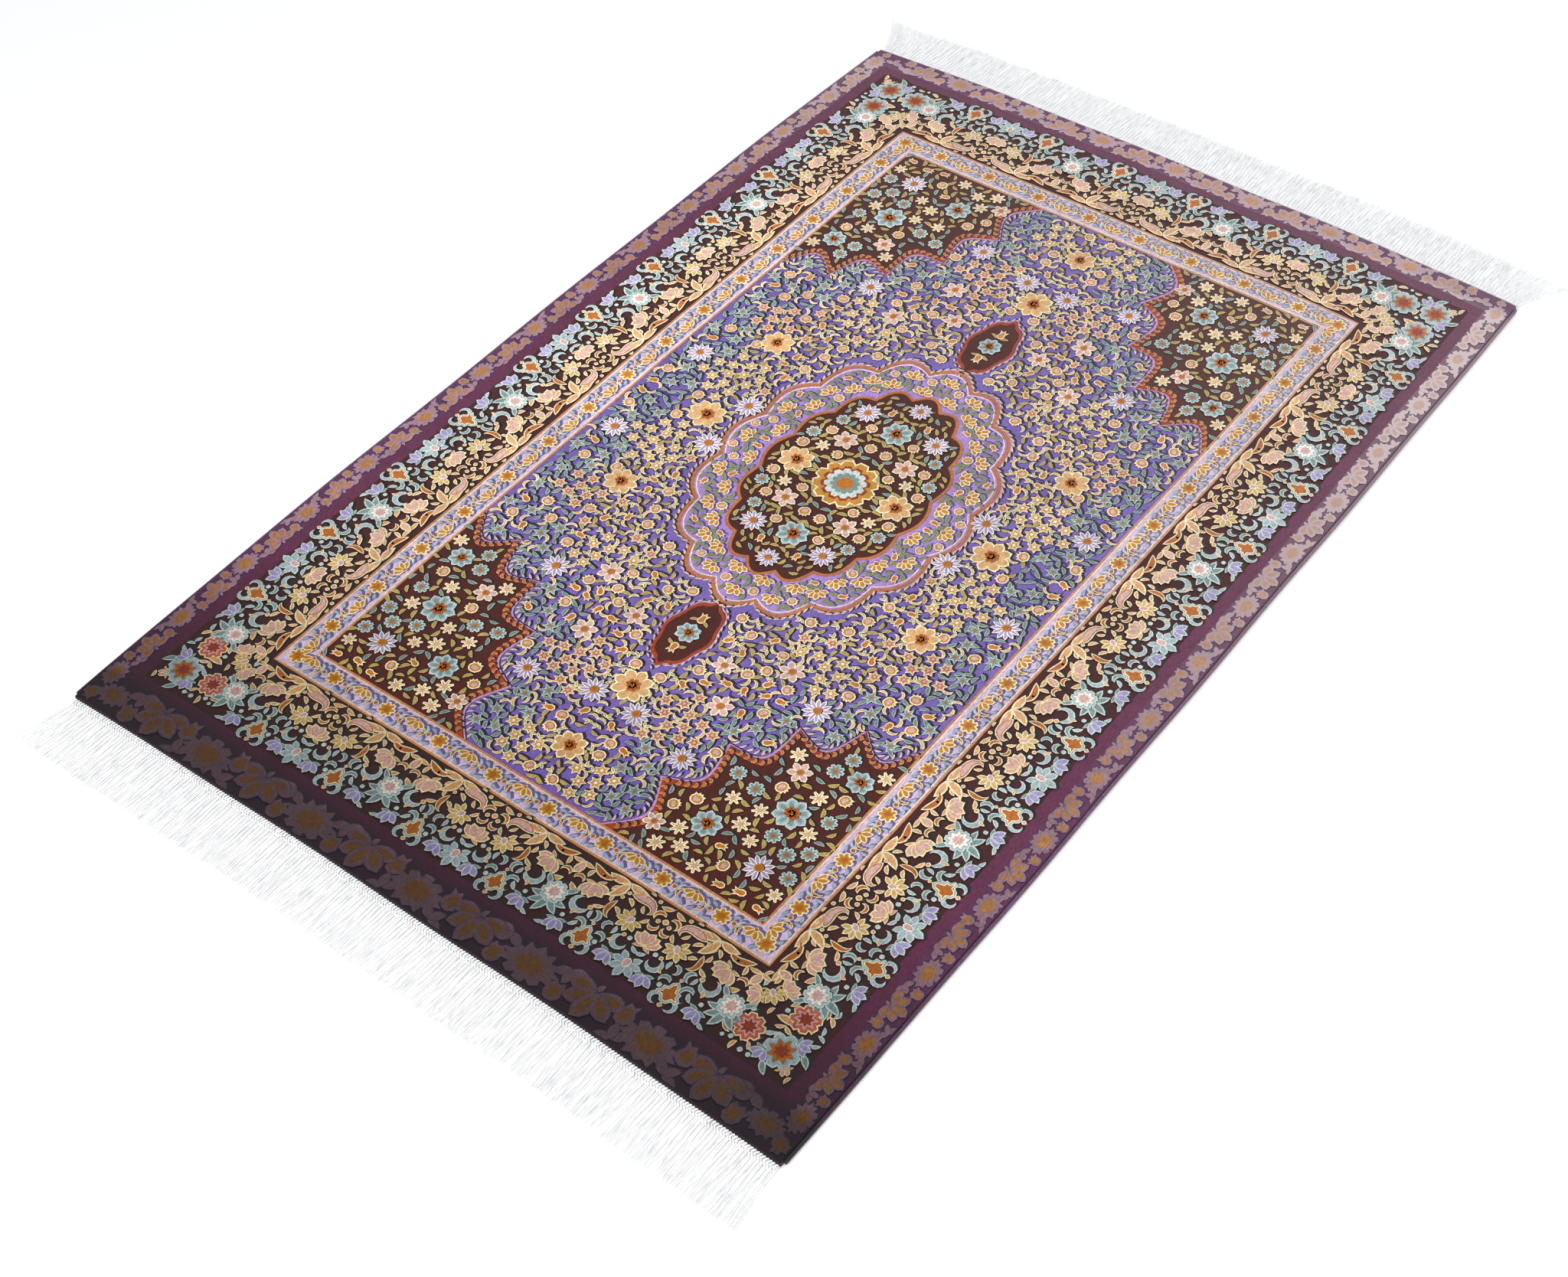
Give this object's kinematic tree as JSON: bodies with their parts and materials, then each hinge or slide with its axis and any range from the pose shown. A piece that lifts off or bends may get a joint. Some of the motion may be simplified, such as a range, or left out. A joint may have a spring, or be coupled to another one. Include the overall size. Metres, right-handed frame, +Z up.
{
  "type": "persian rug",
  "caption": "Small fine silk pile rug in the Persian manner, lying flat, with floral borders, overcast sides and white fringes at both ends",
  "frame": {"origin": "on the floor under the middle of the whole outline, fringes included", "axes": "+Y along the rug towards the end that is far from the camera, +X across it to the right, +Z up from the floor"},
  "size_m": [0.6222, 1.0142, 0.0042],
  "materials": {
    "pile": "knotted silk pile, floral pattern in violet, plum, dark brown, gold, cream and pale teal, with a silk lustre",
    "selvedge": "purple-grey silk thread overcast on a cord",
    "fringe": "fine white silk warp threads, slightly glossy"
  },
  "bodies": {
    "root": {"pile_body": "pile", "selvedge_left": "selvedge", "selvedge_right": "selvedge", "fringe_near": "fringe", "fringe_far": "fringe"}
  },
  "joints": []
}
